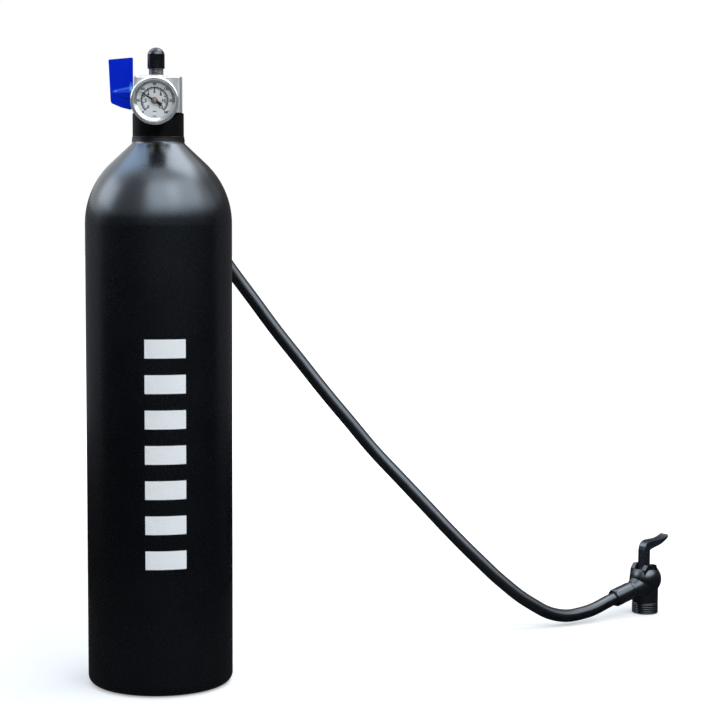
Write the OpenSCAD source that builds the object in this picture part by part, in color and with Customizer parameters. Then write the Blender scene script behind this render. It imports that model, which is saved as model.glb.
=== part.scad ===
/* [Tank] */
// Outer radius of the bottle
tank_r = 40; // [34:1:50]
// Height of the straight side, from the base to the start of the shoulder
side_h = 254; // [160:1:400]
// Radius of the round part of the shoulder
shoulder_r = 45; // [42:1:50]
// Slope of the straight cone under the neck
shoulder_slope = 47; // [42:1:52]
// Wall thickness of the bottle
tank_wall = 3.2; // [2:0.2:5]
// Thickness of the base
base_t = 5; // [3.5:0.5:8]
// Round where the side meets the base
base_round = 5; // [2:0.5:8]
// Radius of the bottle's short neck
neck_r = 14.1; // [13.5:0.1:16]
// Fillet where the shoulder runs into the neck
neck_fillet = 3; // [1.5:0.5:5]
// Height of the plain neck above its fillet
neck_h = 1.1; // [0.7:0.1:4]
// Depth of the threaded mouth in the neck
mouth_depth = 14; // [10:1:18]
// Radius of the neck's threaded mouth
mouth_r = 9; // [8:0.5:10]

/* [Collar] */
// Radius of the black collar
collar_r = 13.9; // [12.5:0.1:15]
// Height of the collar above the neck
collar_h = 13.8; // [10:0.1:20]
// Section of the O-ring under the collar
oring_d = 1.8; // [1.2:0.1:2.4]
// Radius of the air passage through the collar
air_r = 3; // [2:0.5:4]

/* [Valve block] */
// Width of the block, across the front
block_w = 26; // [24:1:32]
// Depth of the block, front to back
block_d = 26; // [24:1:32]
// Height of the block
block_h = 20; // [19:0.5:26]
// Bevel of the block's upright edges and top edges
block_bevel = 1.5; // [0.5:0.1:2.5]
// Height of the ball valve's axis above the block's foot
valve_rise = 10.9; // [9:0.1:12]
// Radius of the shut-off ball
ball_r = 4.4; // [3.8:0.1:4.8]
// Radius of the hole through the ball
ball_bore_r = 1.8; // [1:0.1:2.4]
// Distance of the ball behind the block's middle
ball_back = 4.5; // [3.5:0.5:5]
// Radius of the stem that turns the ball
stem_r = 2; // [1.6:0.1:2.4]
// Radius of the rising air gallery
gallery_r = 1.75; // [1:0.25:2]
// Distance of the gallery in front of the block's middle
gallery_front = 5.4; // [5.3:0.1:6]

/* [Handle] */
// Width of the blade along the stem
blade_w = 12.6; // [9:0.2:16]
// Height of the blade above the stem
blade_up = 18.9; // [14:0.1:26]
// Height of the blade under the stem
blade_down = 9; // [7.5:0.1:12]
// Thickness of the blade
blade_t = 3.6; // [3:0.2:5]
// Radius of the hub's round foot, at the block's side
hub_r = 6; // [5.4:0.1:7]
// Thickness of the hub's round foot
hub_foot = 1.8; // [1:0.1:2.2]
// Gap between the block and the handle
handle_gap = 0.5; // [0.4:0.1:1.5]

/* [Filling valve] */
// Outer radius of the filling valve's thread
fill_r = 4.05; // [3.8:0.05:4.3]
// Height of the filling valve above the block
fill_h = 9.6; // [8.6:0.2:9.8]
// Travel of the valve core's pin
pin_travel = 1.2; // [0.8:0.1:1.6]
// Outer radius of the cap
cap_r = 4.65; // [4.5:0.05:5.5]
// Height of the cap
cap_h = 11.3; // [11:0.1:15]
// Height of bare thread under the cap
cap_rise = 3.7; // [1.5:0.1:4.5]

/* [Gauge] */
// Offset of the gauge from the block's middle, to the left
gauge_left = 1.9; // [0:0.1:3]
// Height of the gauge's centre above the block's foot
gauge_rise = 5.8; // [5:0.1:7]
// Radius of the gauge's chrome bezel
bezel_r = 12.8; // [12.5:0.1:15]
// Wall of the gauge's case
case_wall = 0.9; // [0.6:0.1:1.1]
// Depth of the gauge's case
case_depth = 11.5; // [11:0.1:15]
// Reading of the pointer at rest, in degrees after zero
reading = 76; // [40:1:120]
// Sweep of the whole scale
scale_sweep = 270; // [240:1:280]
// Length of the pointer from its centre to its tip
pointer_len = 9.2; // [7:0.1:9.4]
// Tooth module of the movement
gear_m = 0.2; // [0.18:0.01:0.22]
// Teeth on the pointer's pinion
pinion_teeth = 12; // [10:1:14]
// Teeth that the sector would have as a whole wheel
sector_teeth = 48; // [44:1:50]

/* [Hose] */
// Outer diameter of the hose
hose_d = 8; // [7.4:0.1:8.6]
// Bore of the hose, over its barbs
hose_bore = 4.6; // [4:0.1:5]
// Length of the tapered ferrule at the tank's end
ferrule_len = 24; // [20:1:30]
// Length of the sleeve at the chuck's end
sleeve_len = 14; // [10:1:18]

/* [Chuck] */
// Place of the chuck to the right of the bottle's axis
chuck_x = 312; // [280:1:320]
// Place of the chuck behind the bottle's axis
chuck_y = 150; // [100:1:160]
// Turn of the chuck, which brings its side port forward
chuck_turn = 30; // [0:5:45]
// Radius of the ribbed ring
ring_r = 8.4; // [8.3:0.1:9.6]
// Height of the ribbed ring
ring_h = 7; // [6.6:0.1:8]
// Ribs on the ring
ring_ribs = 5; // [3:1:6]
// Radius of the chuck's neck
chuck_neck_r = 8.3; // [8:0.1:9.4]
// Radius of the chuck's round head
head_r = 10.2; // [10:0.1:11]
// Height of the round head's centre above the floor
head_z = 22; // [21.5:0.1:23]
// Radius of the chamber in the chuck
chamber_r = 5.6; // [5.2:0.1:5.8]
// Hole in the rubber gland for a tyre valve
valve_hole_r = 3.1; // [2.8:0.1:4]
// Height of the side port's axis
side_port_z = 19; // [18.5:0.1:20]
// Downward slope of the side port
port_slope = 14; // [8:1:16]
// Height of the lever's pin
lever_pin_z = 28.5; // [28.3:0.1:30]
// Radius of the lever's pin
lever_pin_r = 1.5; // [1.2:0.1:1.8]
// Distance of the lever's pin from the chuck's axis, away from the side port
pin_out = 1.5; // [1:0.1:1.8]
// Length of the lever's arm, from the pin to the bend
arm_len = 12.8; // [12:0.2:16]
// Reach of the lever's paddle beyond the pin
paddle_len = 15; // [13:0.5:18]
// Lift of the plunger when the lever is folded down
plunger_lift = 1.5; // [1:0.1:1.6]

/* [Hidden] */
$fn = 96;

// Colours of the photograph
tank_c = [0.07, 0.075, 0.085];
collar_c = [0.04, 0.04, 0.045];
alloy_c = [0.78, 0.79, 0.8];
chrome_c = [0.85, 0.86, 0.88];
brass_c = [0.75, 0.62, 0.32];
blue_c = [0.0, 0.13, 0.78];
rubber_c = [0.03, 0.03, 0.035];
plastic_c = [0.05, 0.055, 0.065];
white_c = [0.95, 0.95, 0.93];
steel_c = [0.6, 0.61, 0.63];
ptfe_c = [0.9, 0.9, 0.88];

// Fits
run_fit = 0.05;
ball_fit = 0.1;

// Shoulder: the arc's centre and the point where the straight cone starts
arc_x = tank_r - shoulder_r;
cone_r = arc_x + shoulder_r * cos(shoulder_slope);
cone_z = side_h + shoulder_r * sin(shoulder_slope);
// Centre of the concave fillet between the cone and the neck
fillet_x = neck_r + neck_fillet;
fillet_z = cone_z + (neck_fillet - (fillet_x - cone_r) * cos(shoulder_slope)) / sin(shoulder_slope);
neck_top = round(100 * (fillet_z + neck_h)) / 100;

// Heights of the stacked pieces
collar_z = neck_top;
block_z = collar_z + collar_h;
block_top = block_z + block_h;
valve_z = block_z + valve_rise;
block_back = block_d / 2;
block_left = -block_w / 2;
block_front = -block_d / 2;
collar_shank_len = mouth_depth - 1;
spigot_r = 7;
spigot_len = 8;

// Ball valve
ball_y = ball_back;
chamber_wall_r = ball_r + 1.2;
seat_len = 1.6;
seat_front_y = ball_y - ball_r - 1.2;
seat_rear_y = ball_y + ball_r + 1.2;
stem_collar_r = stem_r + 1;
stem_collar_x = -(chamber_wall_r + 0.2);
packing_r = stem_r + 1.6;
packing_len = 2.4;
gland_r = stem_r + 2.6;
gland_len = 3.2;
gland_recess = 0.3;
packing_x = block_left + gland_recess + gland_len;
tongue_w = 1.8;
tongue_len = 1.4;
handle_x = block_left - handle_gap;
stem_end_x = handle_x - blade_w + 2.2;

// Outlet fitting, ferrule and the hose's start
outlet_flange_t = 4;
outlet_af = 14;
washer_t = 0.8;
flange_y = block_back + washer_t;
hose_y = flange_y + outlet_flange_t;
barb_r = hose_bore / 2;
barb_len = 16;
barb_bore_r = 1.4;
hose_r = hose_d / 2;

// Filling valve
fill_x = -1;
fill_y = -gallery_front;
fill_thread_len = 7;
fill_bore_r = 2.65;
fill_seat_r = 2;
fill_top = block_top + fill_h;
core_r = fill_bore_r;
core_top = fill_top - 0.8;
core_pin_r = 0.6;
core_bore_r = 1.1;
core_lip = 1.4;
spring_shut_h = 5;
core_len = 2 * core_lip + spring_shut_h + pin_travel;
core_collar_t = 0.4;
core_collar_z = core_top - core_lip - run_fit - core_collar_t;
cap_z = block_top + cap_rise;
cap_bore_r = fill_r + 0.07;
cap_dome_r = cap_r + 0.15;
cap_gasket_t = 0.8;
cap_roof = fill_top + 0.3 + cap_gasket_t;

// Gauge, measured back from the block's front face
gauge_x = -gauge_left;
gauge_z = block_z + gauge_rise;
gauge_thread_r = 4;
gauge_thread_len = 4.5;
gauge_washer_t = 0.8;
socket_af = 11;
socket_hex_t = 3.4;
case_back_y = block_front - gauge_washer_t - socket_hex_t;
case_front_y = case_back_y - case_depth;
case_r = bezel_r - 0.5;
cavity_r = case_r - case_wall;
case_back_t = 1;
bezel_lip = 0.5;
lens_t = 1.2;
lens_y = case_front_y + 0.5;
dial_t = 0.5;
ledge_t = 0.6;
dial_r = cavity_r - 0.15;
dial_y = case_back_y - 7.8;
plate_t = 0.5;
lug_y = case_back_y - case_back_t - 0.2;
lug_t = 2.4;
lug_w = 4;
rear_plate_y = lug_y - lug_t;
gear_gap = 2.7;
front_plate_y = rear_plate_y - plate_t - gear_gap;
tube_r = 9.1;
tube_w = 1.3;
tube_t = 3;
pinion_r = gear_m * pinion_teeth / 2;
sector_r = gear_m * sector_teeth / 2;
pivot_drop = pinion_r + sector_r;
tail_r = 1.5;
gear_t = 0.9;
gear_y = rear_plate_y - plate_t - 0.4;
scale_start = 180 + (scale_sweep - 180) / 2;
tip_angle = scale_start - reading;
sector_ratio = pinion_teeth / sector_teeth;
sector_back = reading * sector_ratio;
sector_fwd = (scale_sweep - reading) * sector_ratio;
pointer_y = dial_y - dial_t - 0.9;
pointer_t = 0.45;

// Chuck, standing on the floor to the right of the tank, with its side port to the left
ring_floor_t = 1.6;
ring_hole_r = 4.4;
shank_r = chamber_r + 1.2;
shank_z = 2;
gland_z = ring_floor_t + 0.05;
chuck_gland_h = 7;
plunger_z = gland_z + chuck_gland_h + 0.15;
rod_r = 3;
ear_in = 3.5;
ear_out = 6.8;
ear_rise = 3.4;
ear_chamfer = 3;
head_top = lever_pin_z + ear_rise - ear_chamfer;
cam_e = plunger_lift / 2 / sin(45);
cam_r = 3.4;
cam_gap = 0.12;
slot_z = lever_pin_z - cam_r - cam_e - 0.35;
rod_top = lever_pin_z - cam_e * sin(45) - cam_r - cam_gap;
rod_wall = 3.5;
chamber_top = slot_z - rod_wall;
rod_oring_z = chamber_top + 1;
lever_w = 2 * ear_in - 1;
arm_front = 5.4;
arm_back = 0.6;
slot_back = pin_out - arm_front - 0.5;
paddle_w = 7.6;
port_r = 5.2;
port_len = 13.5;
sleeve_in = 13;
sleeve_r = hose_r + 1.7;
chuck_barb_len = 12;

// Route of the hose, from the outlet to the chuck, as it comes down and lies on the floor
port_dir = [
    -cos(port_slope) * cos(chuck_turn),
    -cos(port_slope) * sin(chuck_turn),
    -sin(port_slope)
];
port_root = [chuck_x, chuck_y, side_port_z];
hose_route = [
    [0, hose_y, valve_z],
    [0, 44, valve_z],
    [1, 66, 322],
    [3, 86, 313],
    [7, 103, 298],
    [12, 115, 280],
    [20, 123, 261],
    [31, 128, 242],
    [44, 130, 223],
    [58, 130, 204],
    [72, 129, 185],
    [87, 128, 166],
    [102, 126, 147],
    [117, 124, 129],
    [132, 122, 111],
    [148, 119, 94],
    [164, 116, 77],
    [180, 113, 60],
    [196, 111, 44],
    [212, 110, 29],
    [229, 111, 16],
    [247, 115, 7],
    [266, 123, 6.4],
    port_root + (sleeve_in + sleeve_len + 3) * port_dir,
    port_root + (sleeve_in + 1) * port_dir
];
hose_sides = 10;

// Outline of the bottle, drawn in by a wall thickness
module bottle_outline(inset, floor_z, corner) {
    r = tank_r - inset;
    rs = shoulder_r - inset;
    kx = arc_x + rs * cos(shoulder_slope);
    kz = side_h + rs * sin(shoulder_slope);
    intersection() {
        union() {
            translate([0, floor_z + corner])
                square([r, side_h - floor_z - corner]);
            square_corner(r, floor_z, corner);
            intersection() {
                translate([arc_x, side_h])
                    circle(rs);
                translate([0, side_h])
                    square([r, rs * sin(shoulder_slope)]);
            }
            polygon([
                [0, kz - 0.01],
                [kx, kz - 0.01],
                [kx, kz],
                [0, kz + kx / tan(shoulder_slope)]
            ]);
        }
        translate([0, floor_z])
            square([r, 2 * side_h]);
    }
}

module square_corner(r, floor_z, corner) {
    intersection() {
        translate([0, floor_z])
            square([r, corner + 0.01]);
        union() {
            translate([0, floor_z])
                square([r - corner, corner + 0.01]);
            translate([r - corner, floor_z + corner])
                circle(corner);
        }
    }
}

// The neck and the fillet that runs into it
module neck_outline() {
    foot_x = fillet_x - neck_fillet * cos(shoulder_slope);
    foot_z = fillet_z - neck_fillet * sin(shoulder_slope);
    difference() {
        union() {
            translate([0, side_h])
                square([neck_r, neck_top - side_h]);
            polygon([
                [0, cone_z],
                [foot_x, foot_z],
                [fillet_x, fillet_z],
                [0, fillet_z]
            ]);
        }
        translate([fillet_x, fillet_z])
            circle(neck_fillet);
    }
}

module tank_shell() {
    color(tank_c)
    rotate_extrude()
    difference() {
        union() {
            intersection() {
                bottle_outline(0, 0, base_round);
                square([tank_r, fillet_z]);
            }
            neck_outline();
        }
        difference() {
            bottle_outline(tank_wall, base_t, max(base_round - tank_wall, 1));
            translate([0, neck_top - mouth_depth])
                square([tank_r, mouth_depth + side_h]);
        }
        translate([-1, neck_top - mouth_depth - 1])
            square([mouth_r + 1, mouth_depth + 2]);
    }
}

// O-ring groove and the ring that fills it
oring_mid_r = (mouth_r + neck_r) / 2;

module neck_oring() {
    color(rubber_c)
    translate([0, 0, collar_z])
    rotate_extrude()
    translate([oring_mid_r, oring_d / 2])
        circle(oring_d / 2);
}

module neck_collar() {
    color(collar_c)
    translate([0, 0, collar_z])
    difference() {
        rotate_extrude()
        difference() {
            union() {
                translate([0, -collar_shank_len])
                    square([mouth_r, collar_shank_len + 1]);
                polygon([
                    [0, 0],
                    [collar_r, 0],
                    [collar_r, collar_h - 0.4],
                    [collar_r - 0.4, collar_h],
                    [0, collar_h]
                ]);
            }
            translate([-1, -collar_shank_len - 1])
                square([air_r + 1, collar_shank_len + collar_h + 2]);
            translate([-1, collar_h - spigot_len - 0.5])
                square([spigot_r + 1, spigot_len + 1]);
            translate([oring_mid_r - oring_d / 2, -0.01])
                square([oring_d, oring_d + 0.01]);
        }
    }
}

// Side of the block, with the bevels of its top edges
module side_outline(half, b) {
    polygon([
        [-half, 0], [half, 0], [half, block_h - b],
        [half - b * 0.8, block_h], [-half + b * 0.8, block_h], [-half, block_h - b]
    ]);
}

// Block with bevelled upright edges and top edges
module block_solid() {
    b = block_bevel;
    w = block_w / 2;
    d = block_d / 2;
    intersection() {
        linear_extrude(block_h)
            polygon([
                [-w + b, -d], [w - b, -d], [w, -d + b], [w, d - b],
                [w - b, d], [-w + b, d], [-w, d - b], [-w, -d + b]
            ]);
        rotate([90, 0, 0])
        translate([0, 0, -d])
        linear_extrude(block_d)
            side_outline(w, b);
        rotate([90, 0, 90])
        translate([0, 0, -w])
        linear_extrude(block_w)
            side_outline(d, b);
    }
}

module along_y(x, y, z, r, len) {
    translate([x, y, z])
    rotate([-90, 0, 0])
        cylinder(r = r, h = len);
}

module along_x(x, y, z, r, len) {
    translate([x, y, z])
    rotate([0, 90, 0])
        cylinder(r = r, h = len);
}

module valve_block() {
    color(alloy_c)
    difference() {
        union() {
            translate([0, 0, block_z])
                block_solid();
            translate([0, 0, block_z - spigot_len])
                cylinder(r = spigot_r, h = spigot_len + 0.5);
        }
        // Rising gallery and its foot in the spigot
        translate([0, -gallery_front + 1, block_z - spigot_len - 1])
            cylinder(r = gallery_r, h = spigot_len + gauge_rise + 1);
        translate([fill_x, fill_y, block_z + 2])
            cylinder(r = gallery_r, h = block_h);
        translate([fill_x, fill_y, block_top - fill_thread_len])
            cylinder(r = fill_r, h = fill_thread_len + 1);
        // Gauge port and its pilot hole
        along_y(gauge_x, block_front - 1, gauge_z, gauge_thread_r, gauge_thread_len + 1.5);
        along_y(gauge_x, block_front, gauge_z, 1.2, -block_front - gallery_front);
        // Ball chamber, open to the back
        along_y(0, seat_front_y, valve_z, chamber_wall_r, block_back - seat_front_y + 1);
        along_y(0, -gallery_front, valve_z, gallery_r, gallery_front + seat_front_y + 1);
        // Stem bore with its counterbores
        along_x(stem_collar_x, ball_y, valve_z, stem_collar_r + run_fit, chamber_wall_r);
        along_x(block_left - 1, ball_y, valve_z, stem_r + run_fit, block_w / 2);
        along_x(block_left - 1, ball_y, valve_z, gland_r, gland_recess + gland_len + 1);
        along_x(block_left, ball_y, valve_z, packing_r, gland_recess + gland_len + packing_len);
    }
}

// Ring seat with a cup that follows the ball
module seat(y0, len) {
    difference() {
        along_y(0, y0, valve_z, chamber_wall_r, len);
        along_y(0, y0 - 1, valve_z, ball_bore_r + 0.3, len + 2);
        translate([0, ball_y, valve_z])
            sphere(ball_r + ball_fit);
    }
}

module ball_seat_front() {
    color(ptfe_c)
        seat(seat_front_y, seat_len);
}

module ball_seat_rear() {
    color(ptfe_c)
        seat(seat_rear_y - seat_len, seat_len);
}

module valve_ball() {
    color(chrome_c)
    difference() {
        translate([0, ball_y, valve_z])
            sphere(ball_r);
        translate([0, ball_y, valve_z - ball_r - 1])
            cylinder(r = ball_bore_r, h = 2 * ball_r + 2);
        translate([-ball_r - 1, ball_y - ball_r, valve_z - tongue_w / 2])
            cube([1 + tongue_len, 2 * ball_r, tongue_w]);
    }
}

module valve_stem() {
    color(steel_c)
    difference() {
        union() {
            along_x(stem_end_x, ball_y, valve_z, stem_r, stem_collar_x + 1 - stem_end_x);
            along_x(stem_collar_x + 0.1, ball_y, valve_z, stem_collar_r, chamber_wall_r - ball_r - 0.1);
            intersection() {
                along_x(stem_collar_x, ball_y, valve_z, stem_collar_r, 8);
                translate([stem_collar_x, ball_y - stem_r, valve_z - tongue_w / 2])
                    cube([-stem_collar_x - ball_r + tongue_len, 2 * stem_r, tongue_w]);
            }
        }
        // Flat for the grub screw
        translate([stem_end_x - 1, ball_y + stem_r - 0.5, valve_z - stem_r])
            cube([handle_x - stem_end_x - 1, stem_r, 2 * stem_r]);
    }
}

module stem_packing() {
    color(ptfe_c)
    difference() {
        along_x(packing_x, ball_y, valve_z, packing_r, packing_len);
        along_x(packing_x - 1, ball_y, valve_z, stem_r + run_fit, packing_len + 2);
    }
}

module gland_nut() {
    color(steel_c)
    difference() {
        along_x(block_left + gland_recess, ball_y, valve_z, gland_r, gland_len);
        along_x(block_left - 1, ball_y, valve_z, stem_r + run_fit, gland_len + 2);
        // Two holes for a pin spanner
        for (s = [-1, 1])
            along_x(block_left - 1, ball_y, valve_z + s * (gland_r + stem_r) / 2, 0.5, 2.4);
    }
}

// Blade outline, seen from the front, with small bevels at its corners
module blade_outline() {
    c = 0.5;
    left = handle_x - blade_w;
    polygon([
        [handle_x, blade_up + 0.2 - c],
        [handle_x - c, blade_up + 0.2],
        [left - 0.6 + c, blade_up - 1],
        [left - 0.6, blade_up - 1 - c],
        [left + 0.4, -blade_down + 4 + c],
        [left + 0.4 + c, -blade_down + 3.4],
        [left + 6, -blade_down + 1.2],
        [handle_x - 1.6, -blade_down],
        [handle_x, -blade_down + 0.8]
    ]);
}

module valve_handle() {
    color(blue_c)
    difference() {
        union() {
            translate([0, ball_y + blade_t / 2, valve_z])
            rotate([90, 0, 0])
            linear_extrude(blade_t)
                blade_outline();
            // Hub: a round foot and a cone that runs out along the blade
            translate([handle_x, ball_y, valve_z])
            rotate([0, -90, 0])
                cylinder(r1 = hub_r - 1.4, r2 = blade_t / 2 + 0.4, h = blade_w - 2.6);
            translate([handle_x, ball_y, valve_z])
            rotate([0, -90, 0])
                cylinder(r = hub_r, h = hub_foot);
        }
        along_x(stem_end_x - 0.3, ball_y, valve_z, stem_r, blade_w + 4);
        along_y(handle_x - 4, ball_y + 1, valve_z, 1.25, hub_r + 2);
    }
}

module handle_grub_screw() {
    color(steel_c)
    difference() {
        along_y(handle_x - 4, ball_y + stem_r - 0.5, valve_z, 1.25, 2);
        translate([handle_x - 4, ball_y + stem_r + 0.5, valve_z])
        rotate([-90, 0, 0])
            cylinder(r = 0.7, h = 3, $fn = 6);
    }
}

module outlet_fitting() {
    color(brass_c)
    difference() {
        union() {
            along_y(0, seat_rear_y, valve_z, chamber_wall_r, flange_y - seat_rear_y);
            translate([0, flange_y, valve_z])
            rotate([-90, 0, 0])
            intersection() {
                cylinder(r = outlet_af / 2 / cos(30), h = outlet_flange_t, $fn = 6);
                union() {
                    cylinder(r = outlet_af / 2 / cos(30), h = outlet_flange_t - 0.8);
                    translate([0, 0, outlet_flange_t - 0.8])
                        cylinder(r1 = outlet_af / 2 / cos(30), r2 = outlet_af / 2, h = 0.8);
                }
            }
            translate([0, hose_y, valve_z])
            rotate([-90, 0, 0])
                barb_shape(barb_len);
        }
        along_y(0, seat_rear_y - 1, valve_z, barb_bore_r, barb_len + 20);
    }
}

// Hose tail with three barbs, along +Z
module barb_shape(len) {
    pitch = (len - 3) / 3;
    rotate_extrude()
    polygon(concat(
        [[0, 0], [barb_r - 0.2, 0], [barb_r - 0.2, 2]],
        [for (k = [0:2]) each [
            [barb_r - 0.2, 2 + k * pitch],
            [barb_r + 0.35, 2.2 + k * pitch],
            [barb_r - 0.2, 2 + (k + 1) * pitch]
        ]],
        [[barb_r - 0.5, len], [0, len]]
    ));
}

module outlet_washer() {
    color(ptfe_c)
    difference() {
        along_y(0, block_back, valve_z, outlet_af / 2, washer_t);
        along_y(0, block_back - 1, valve_z, chamber_wall_r, washer_t + 2);
    }
}

module hose_ferrule() {
    color(rubber_c)
    translate([0, hose_y, valve_z])
    rotate([-90, 0, 0])
    rotate_extrude()
    difference() {
        polygon([
            [hose_r, 0],
            [hose_r + 2.2, 0],
            [hose_r + 2.2, 10],
            [hose_r + 1.9, 10.4],
            [hose_r + 0.8, ferrule_len - 0.4],
            [hose_r + 0.4, ferrule_len],
            [hose_r, ferrule_len]
        ]);
        for (k = [0:2])
            translate([hose_r + 2.4, 3 + 2.6 * k])
                circle(0.6);
    }
}

// The hose is one plain tube through the points of its route
function unit(v) = v / norm(v);
function step_dir(p, i) = unit(p[min(i + 1, len(p) - 1)] - p[max(i - 1, 0)]);
function side_of(d) = unit(cross(d, abs(d[2]) > 0.95 ? [1, 0, 0] : [0, 0, 1]));
function ring_pts(c, d, s, r, n) = [for (k = [0:n - 1])
    c + r * (cos(360 * k / n) * s + sin(360 * k / n) * cross(s, d))];
function carry(p, i, s) = i == 0 ? s :
    let (q = carry(p, i - 1, s), d = step_dir(p, i)) unit(q - (q * d) * d);

module tube_along(p, r, n) {
    m = len(p);
    s0 = side_of(step_dir(p, 0));
    pts = [for (i = [0:m - 1]) each ring_pts(p[i], step_dir(p, i), carry(p, i, s0), r, n)];
    sides = [for (i = [0:m - 2], k = [0:n - 1])
        [i * n + k, i * n + (k + 1) % n, (i + 1) * n + (k + 1) % n, (i + 1) * n + k]];
    first = [[for (k = [n - 1:-1:0]) k]];
    last = [[for (k = [0:n - 1]) (m - 1) * n + k]];
    polyhedron(points = pts, faces = concat(sides, first, last), convexity = 4);
}

module hose() {
    color(rubber_c)
        tube_along(hose_route, hose_r, hose_sides);
}

module fill_valve_stem() {
    color(chrome_c)
    translate([fill_x, fill_y, 0])
    rotate_extrude()
    difference() {
        union() {
            translate([0, block_top - fill_thread_len])
                square([fill_r, fill_thread_len + fill_h - 0.5]);
            polygon([
                [0, fill_top - 0.6],
                [fill_r, fill_top - 0.6],
                [fill_r - 0.5, fill_top],
                [0, fill_top]
            ]);
        }
        translate([-1, core_top - core_len])
            square([fill_bore_r + 1, core_len + 2]);
        translate([-1, block_top - fill_thread_len - 1])
            square([fill_seat_r + 1, fill_thread_len + fill_h]);
    }
}

module fill_core_body() {
    color(brass_c)
    translate([fill_x, fill_y, 0])
    difference() {
        rotate_extrude()
        difference() {
            translate([0, core_top - core_len])
                square([core_r, core_len]);
            translate([-1, core_top - core_len + core_lip])
                square([core_bore_r + 0.5 + 1, core_len - 2 * core_lip]);
            translate([-1, core_top - core_len - 1])
                square([core_bore_r + 1, core_len + 2]);
        }
        // Flats for the core key
        for (s = [-1, 1])
            translate([s * (core_r + 0.55) - 1.5, -3, core_top - 1.2])
                cube([3, 6, 2]);
    }
}

module fill_core_pin() {
    color(brass_c)
    translate([fill_x, fill_y, 0])
    rotate_extrude()
    union() {
        translate([0, core_top - core_len - 1.6])
            square([core_pin_r, core_len + 1.9]);
        translate([0, core_top - 0.1])
            square([core_bore_r - run_fit, 0.4]);
        translate([0, core_collar_z])
            square([core_bore_r + 0.35, core_collar_t]);
        translate([0, core_top - core_len - 1.6])
            square([fill_seat_r - 0.35, 0.5]);
    }
}

module fill_core_seal() {
    color(rubber_c)
    translate([fill_x, fill_y, core_top - core_len - 1.1])
    difference() {
        cylinder(r = fill_seat_r - 0.35, h = 1);
        translate([0, 0, -1])
            cylinder(r = core_pin_r, h = 3);
    }
}

// Coil spring round the core's pin
module fill_core_spring() {
    turns = 4;
    steps = 12 * turns;
    wire_r = 0.18;
    coil_r = (core_pin_r + core_bore_r + 0.5) / 2;
    foot = core_top - core_len + core_lip;
    height = core_collar_z - foot - 2 * wire_r - 2 * run_fit;
    coil = [for (i = [0:steps]) [
        coil_r * cos(360 * turns * i / steps),
        coil_r * sin(360 * turns * i / steps),
        height * i / steps
    ]];
    color(steel_c)
    translate([fill_x, fill_y, foot + wire_r + run_fit])
        tube_along(coil, wire_r, 6);
}

module valve_cap() {
    dome_z = cap_z + cap_h - cap_dome_r;
    color(plastic_c)
    translate([fill_x, fill_y, 0])
    rotate_extrude()
    difference() {
        union() {
            translate([0, cap_z])
                square([cap_r, dome_z - cap_z + 1]);
            intersection() {
                translate([0, dome_z])
                    circle(cap_dome_r);
                translate([0, cap_z])
                    square([cap_r, cap_h + 1]);
            }
        }
        translate([-1, cap_z - 1])
            square([cap_bore_r + 1, cap_roof - cap_z + 1]);
        translate([-20, cap_z])
            square([20, 30]);
    }
}

module cap_gasket() {
    color(rubber_c)
    translate([fill_x, fill_y, cap_roof - cap_gasket_t])
    difference() {
        cylinder(r = cap_bore_r, h = cap_gasket_t);
        translate([0, 0, -1])
            cylinder(r = core_bore_r + 0.5, h = cap_gasket_t + 2);
    }
}

// Pieces of the gauge are drawn around its axis, with +Z towards the viewer
module at_gauge(y) {
    translate([gauge_x, y, gauge_z])
    rotate([90, 0, 0])
        children();
}

module gauge_washer() {
    color(ptfe_c)
    at_gauge(block_front)
    difference() {
        cylinder(r = socket_af / 2, h = gauge_washer_t);
        translate([0, 0, -1])
            cylinder(r = gauge_thread_r, h = gauge_washer_t + 2);
    }
}

module gauge_socket() {
    hex_z = gauge_washer_t;
    neck_z = hex_z + socket_hex_t;
    lug_z = block_front - lug_y;
    color(brass_c)
    at_gauge(block_front)
    difference() {
        union() {
            translate([0, 0, -gauge_thread_len])
                cylinder(r = gauge_thread_r, h = gauge_thread_len + hex_z + 0.2);
            translate([0, 0, hex_z])
                cylinder(r = socket_af / 2 / cos(30), h = socket_hex_t, $fn = 6);
            translate([0, 0, neck_z - 0.2])
                cylinder(r = 3, h = lug_z - neck_z + 0.4);
            translate([-lug_w / 2, -tube_r - 1, lug_z])
                cube([lug_w, tube_r + 3.4, lug_t]);
        }
        translate([0, 0, lug_z])
            tube_root();
        translate([0, 0, -gauge_thread_len - 1])
            cylinder(r = 1, h = lug_z + gauge_thread_len + 1 + lug_t / 2);
        translate([0, 0, lug_z + lug_t / 2])
        rotate([90, 0, 0])
            cylinder(r = 0.6, h = tube_r);
    }
}

module gauge_case() {
    color(chrome_c)
    at_gauge(case_back_y)
    rotate_extrude()
    difference() {
        union() {
            polygon([
                [3, 0],
                [case_r - 1, 0],
                [case_r, 1],
                [case_r, case_depth - 0.6],
                [3, case_depth - 0.6]
            ]);
        }
        difference() {
            translate([0, case_back_t])
                square([cavity_r, case_depth]);
            // Ledge that carries the dial
            translate([cavity_r - 0.9, case_back_y - dial_y - ledge_t])
                square([2, ledge_t]);
        }
    }
}

// C-shaped pressure tube, from its root in the lug round to its free end
tube_start = -82;
tube_end = 200;

module tube_root() {
    rotate([0, 0, tube_start])
    rotate_extrude(angle = 12)
    translate([tube_r - tube_w / 2, 0])
        square([tube_w, tube_t]);
}

module bourdon_tube() {
    color(brass_c)
    at_gauge(lug_y)
    union() {
        rotate([0, 0, tube_start])
        rotate_extrude(angle = tube_end - tube_start)
        translate([tube_r - tube_w / 2, 0])
            square([tube_w, tube_t]);
        // Pin at the free end
        rotate([0, 0, tube_end - 3])
        translate([tube_r - 1.2, 0, tube_t - 0.1])
            cylinder(r = 0.3, h = 2, $fn = 24);
        rotate([0, 0, tube_end - 5])
        rotate_extrude(angle = 4)
        translate([tube_r - 1.7, tube_t - 0.6])
            square([1.8, 0.6]);
    }
}

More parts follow.
